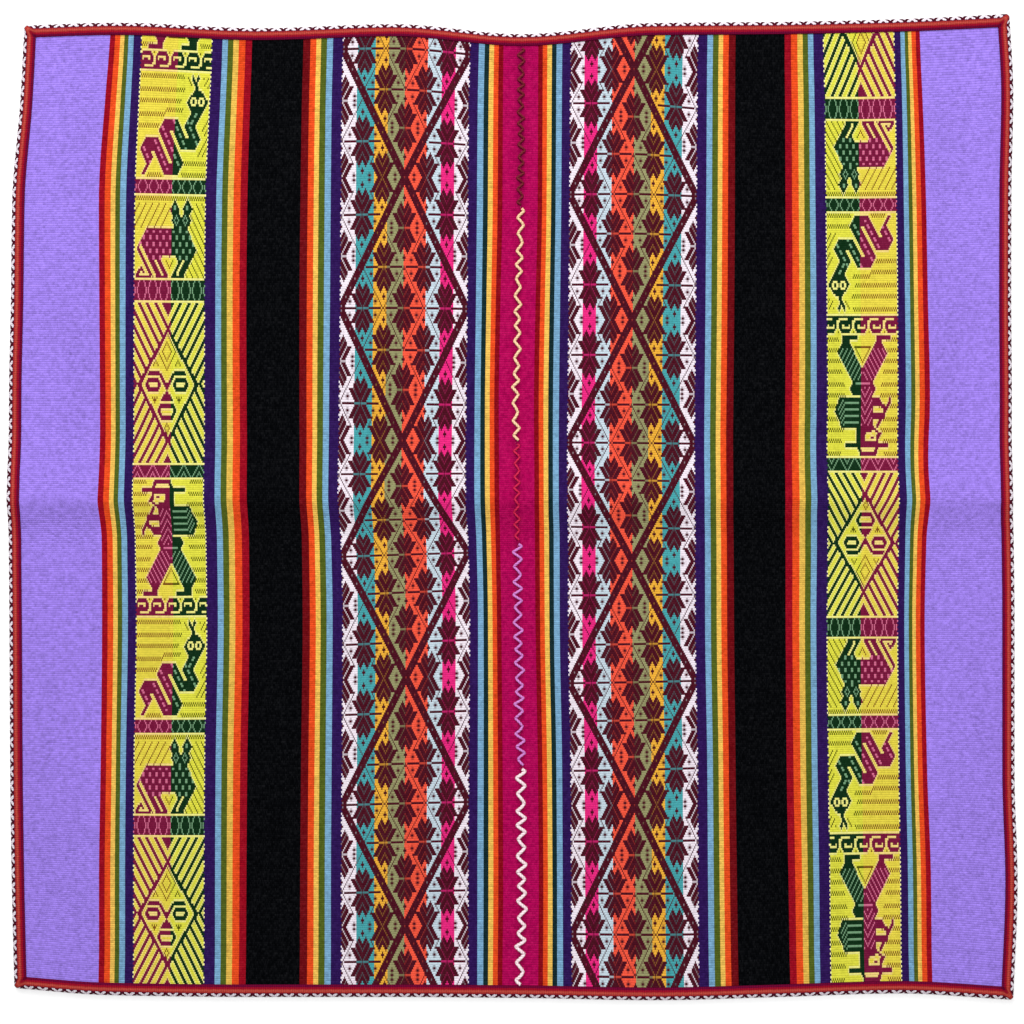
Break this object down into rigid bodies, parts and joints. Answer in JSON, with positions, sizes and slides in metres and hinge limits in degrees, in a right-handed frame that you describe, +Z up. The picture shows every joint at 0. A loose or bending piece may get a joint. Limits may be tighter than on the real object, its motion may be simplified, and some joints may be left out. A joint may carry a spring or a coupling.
{
  "type": "mesa cloth",
  "caption": "Square handwoven mesa cloth: striped and patterned panels joined by a stitched centre seam, edged all round with a tubular woven band, lying flat with a fold crease.",
  "frame": {"origin": "on the surface the cloth lies on, under the middle of its bounding box", "axes": "+X across the cloth from the left side to the right, +Y along the stripes and the seam towards the top hem, +Z up from the surface"},
  "size_m": [0.6256, 0.6116, 0.0077],
  "materials": {
    "woven_panel": "warp-faced woven wool in stripes and pattern bands, matte",
    "woven_edging": "tightly woven tubular wool band, brick red inside, white with maroon eyes outside",
    "brown_yarn": "plied wool yarn",
    "cream_yarn": "plied wool yarn",
    "red_yarn": "plied wool yarn",
    "lilac_yarn": "plied wool yarn",
    "white_yarn": "plied wool yarn"
  },
  "bodies": {
    "root": {"panel_left": "woven_panel", "panel_right": "woven_panel", "edging": "woven_edging", "seam_stitches_brown": "brown_yarn", "seam_stitches_cream": "cream_yarn", "seam_stitches_red": "red_yarn", "seam_stitches_lilac": "lilac_yarn", "seam_stitches_white": "white_yarn"}
  },
  "joints": []
}
